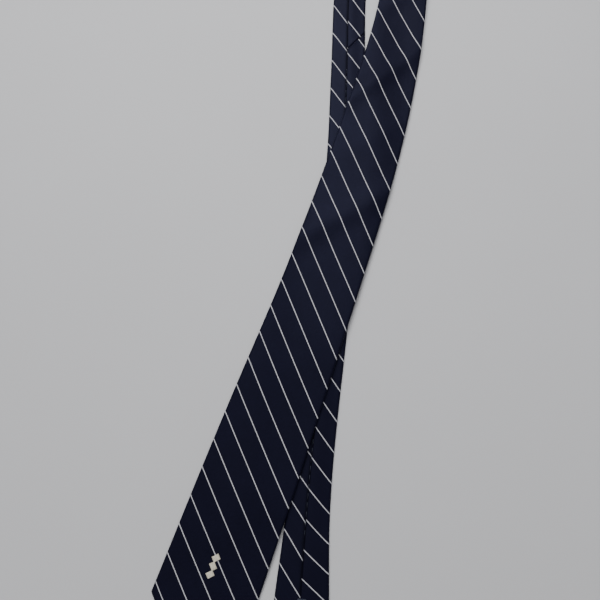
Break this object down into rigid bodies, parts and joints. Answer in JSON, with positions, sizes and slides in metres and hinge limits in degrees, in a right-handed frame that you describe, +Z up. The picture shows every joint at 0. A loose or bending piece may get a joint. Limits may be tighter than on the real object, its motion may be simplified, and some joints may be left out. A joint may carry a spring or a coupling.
{
  "type": "necktie",
  "caption": "Striped silk necktie folded at the neck and laid flat, front blade over tail, with lined tips, keeper loop, labels and stitched seams.",
  "frame": {"origin": "centre of the folded tie's footprint, on the surface it lies on", "axes": "+Y towards the fold at the neck, +Z up out of the surface, +X to the right seen from above with the tips nearest"},
  "size_m": [0.2345, 0.7294, 0.0126],
  "materials": {
    "striped_silk": "navy woven silk twill with narrow silver diagonal stripes, soft satin sheen",
    "interlining_wool": "brushed off-white wool canvas",
    "tipping_silk": "plain navy satin lining",
    "label_satin": "blank woven satin label, dark navy with a woven border",
    "care_satin": "blank white satin ribbon",
    "motif_thread": "cream satin-stitch embroidery thread",
    "navy_thread": "twisted navy sewing thread"
  },
  "bodies": {
    "tail": {"tail_shell": "striped_silk", "tail_join_stitches": "navy_thread", "tail_slip_stitch": "navy_thread", "neck_shell_tail_side": "striped_silk", "tail_interlining": "interlining_wool"},
    "tail_tip": {"tail_tip_shell": "striped_silk", "tail_tip_interlining": "interlining_wool", "tail_tipping": "tipping_silk", "tail_bar_tack": "navy_thread"},
    "blade": {"blade_shell": "striped_silk", "blade_join_stitches": "navy_thread", "blade_slip_stitch": "navy_thread", "neck_shell_blade_side": "striped_silk", "blade_interlining": "interlining_wool", "keeper_tab_left": "striped_silk", "keeper_tab_right": "striped_silk", "maker_label": "label_satin", "label_tack_left": "navy_thread", "label_tack_right": "navy_thread", "care_label": "care_satin"},
    "keeper": {"keeper_band": "striped_silk"},
    "blade_tip": {"blade_tip_shell": "striped_silk", "blade_tip_interlining": "interlining_wool", "blade_tipping": "tipping_silk", "blade_bar_tack": "navy_thread", "embroidered_motif": "motif_thread", "spare_thread_loop": "navy_thread"}
  },
  "joints": [
    {"name": "neck_fold", "type": "hinge", "parent": "tail", "child": "blade", "pos_m": [0.07595, 0.36607, 0.0063], "axis": [-1, 0, 0], "range_deg": [0, 178]},
    {"name": "blade_tip_turn_up", "type": "hinge", "parent": "blade", "child": "blade_tip", "pos_m": [-0.05505, -0.25999, 0.00744], "axis": [-0.9382, 0.3461, 0], "range_deg": [0, 160]},
    {"name": "tail_tip_turn_up", "type": "hinge", "parent": "tail", "child": "tail_tip", "pos_m": [0.00048, -0.2902, 0.0042], "axis": [-0.997, 0.078, 0], "range_deg": [0, 140]},
    {"name": "keeper_loop_open", "type": "slide", "parent": "blade", "child": "keeper", "axis": [0, 0, -1], "range_m": [0, 0.003], "stiffness_N_per_m": 20}
  ]
}
